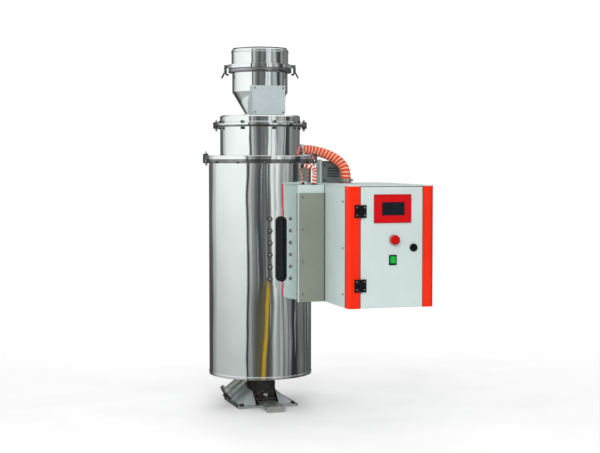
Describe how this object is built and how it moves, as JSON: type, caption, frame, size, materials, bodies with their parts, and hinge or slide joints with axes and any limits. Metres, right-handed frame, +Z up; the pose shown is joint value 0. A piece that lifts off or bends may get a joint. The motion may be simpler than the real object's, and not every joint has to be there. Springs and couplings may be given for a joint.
{
  "type": "hopper dryer",
  "caption": "Mirror-steel plastics drying hopper with a vacuum loader on top, a slide gate below and a hinged-door dryer cabinet at its side.",
  "frame": {"origin": "middle of the base plate's underside, on the hopper's axis", "axes": "+Z up along the hopper's axis; the cabinet door faces -Y; the cabinet stands on the +X side"},
  "size_m": [0.8355, 0.7742, 1.528],
  "materials": {
    "mirror_steel": "mirror polished stainless steel",
    "satin_steel": "satin stainless steel",
    "flare_grey": "matte zinc-blue steel",
    "clamp_steel": "bright steel",
    "gate_black": "black paint on castings",
    "wool": "mineral wool",
    "seal_black": "moulded rubber",
    "sight_glass": "tinted by the dark inside",
    "filter_white": "pleated felt",
    "cabinet_grey": "fine-texture powder coat",
    "bracket_grey": "warm grey powder coat",
    "post_red": "orange-red powder coat",
    "hinge_black": "black moulded",
    "hmi_red": "red overlay",
    "hmi_glass": "dark touch screen",
    "stop_red": "red moulded",
    "stem_grey": "grey moulded",
    "rocker_green": "lit green lens",
    "hose_orange": "silicone hose with a wire helix",
    "box_grey": "dark grey paint",
    "blower_grey": "cast and painted",
    "control_plastic": "moulded housings"
  },
  "bodies": {
    "root": {"air_diffuser": "satin_steel", "base_flare": "flare_grey", "base_plate": "satin_steel", "blower_case": "blower_grey", "blower_motor": "blower_grey", "bracket_cover": "bracket_grey", "bracket_frame": "cabinet_grey", "cabinet_shell": "cabinet_grey", "contactors": "control_plastic", "controller": "control_plastic", "corner_posts": "post_red", "drain_spout": "satin_steel", "filter_cartridge": "filter_white", "flange_bolts": "hinge_black", "flange_clamps": "clamp_steel", "gate_housing": "gate_black", "heater_tube": "satin_steel", "hinge_frame_leaves": "hinge_black", "hopper_cover": "satin_steel", "hopper_liner": "satin_steel", "hopper_shell": "mirror_steel", "hose_clamps": "satin_steel", "insulation": "wool", "large_hose": "hose_orange", "large_ports": "clamp_steel", "loader_body": "mirror_steel", "loader_box": "cabinet_grey", "loader_box_cover": "cabinet_grey", "loader_cone": "mirror_steel", "main_flange": "satin_steel", "neck_lid": "mirror_steel", "neck_shell": "mirror_steel", "panel_screws": "clamp_steel", "rear_panel": "cabinet_grey", "sight_glass": "sight_glass", "sight_plate": "mirror_steel", "sight_screws": "clamp_steel", "sight_seal": "seal_black", "small_hose": "hose_orange", "small_ports": "clamp_steel", "top_box": "box_grey"},
    "door": {"door_panel": "cabinet_grey", "door_gasket": "seal_black", "hmi_bezel": "hmi_red", "hmi_screen": "hmi_glass", "hinge_door_leaves": "hinge_black", "stop_collar": "hinge_black", "rocker_frame": "hinge_black", "lock_body": "hinge_black"},
    "lock": {"lock_barrel": "hinge_black"},
    "stop_stem": {"stop_stem": "stem_grey"},
    "stop_head": {"stop_head": "stop_red"},
    "rocker": {"rocker_key": "rocker_green"},
    "gate": {"slide_gate": "satin_steel"},
    "drain_cap": {"drain_cap": "satin_steel"},
    "flap": {"discharge_flap": "satin_steel"},
    "lid": {"loader_lid": "mirror_steel"},
    "latch_left": {"latch_left": "clamp_steel"},
    "latch_right": {"latch_right": "clamp_steel"},
    "wheel": {"blower_wheel": "blower_grey"}
  },
  "joints": [
    {"name": "door_hinge", "type": "hinge", "parent": "root", "child": "door", "pos_m": [0.278, -0.515, 0.699], "axis": [0, 0, -1], "range_deg": [0, 115]},
    {"name": "lock_turn", "type": "hinge", "parent": "door", "child": "lock", "pos_m": [0.5065, -0.5, 0.696], "axis": [0, 1, 0], "range_deg": [0, 90]},
    {"name": "stop_push", "type": "slide", "parent": "door", "child": "stop_stem", "axis": [0, 1, 0], "range_m": [0, 0.005]},
    {"name": "stop_twist", "type": "hinge", "parent": "stop_stem", "child": "stop_head", "pos_m": [0.422, -0.52, 0.729], "axis": [0, -1, 0], "range_deg": [0, 45], "stiffness_Nm_per_rad": 0.05},
    {"name": "rocker_tip", "type": "hinge", "parent": "door", "child": "rocker", "pos_m": [0.417, -0.506, 0.647], "axis": [1, 0, 0], "range_deg": [0, 14]},
    {"name": "gate_slide", "type": "slide", "parent": "root", "child": "gate", "axis": [0, -1, 0], "range_m": [0, 0.095]},
    {"name": "drain_cap_hinge", "type": "hinge", "parent": "root", "child": "drain_cap", "pos_m": [-0.1684, 0, 0.07404], "axis": [0, 1, 0], "range_deg": [0, 100]},
    {"name": "flap_hinge", "type": "hinge", "parent": "root", "child": "flap", "pos_m": [-0.074, 0, 1.1795], "axis": [0, 1, 0], "range_deg": [0, 50]},
    {"name": "lid_lift", "type": "slide", "parent": "root", "child": "lid", "axis": [0, 0, 1], "range_m": [0, 0.12]},
    {"name": "latch_left_hinge", "type": "hinge", "parent": "lid", "child": "latch_left", "pos_m": [-0.14058, 0.04298, 1.45], "axis": [0.2924, 0.9563, 0], "range_deg": [0, 100]},
    {"name": "latch_right_hinge", "type": "hinge", "parent": "lid", "child": "latch_right", "pos_m": [0.14058, -0.04298, 1.45], "axis": [-0.2924, -0.9563, 0], "range_deg": [0, 100]},
    {"name": "wheel_spin", "type": "hinge", "parent": "root", "child": "wheel", "pos_m": [0.42, -0.29, 0.565], "axis": [0, 1, 0], "continuous": true}
  ]
}
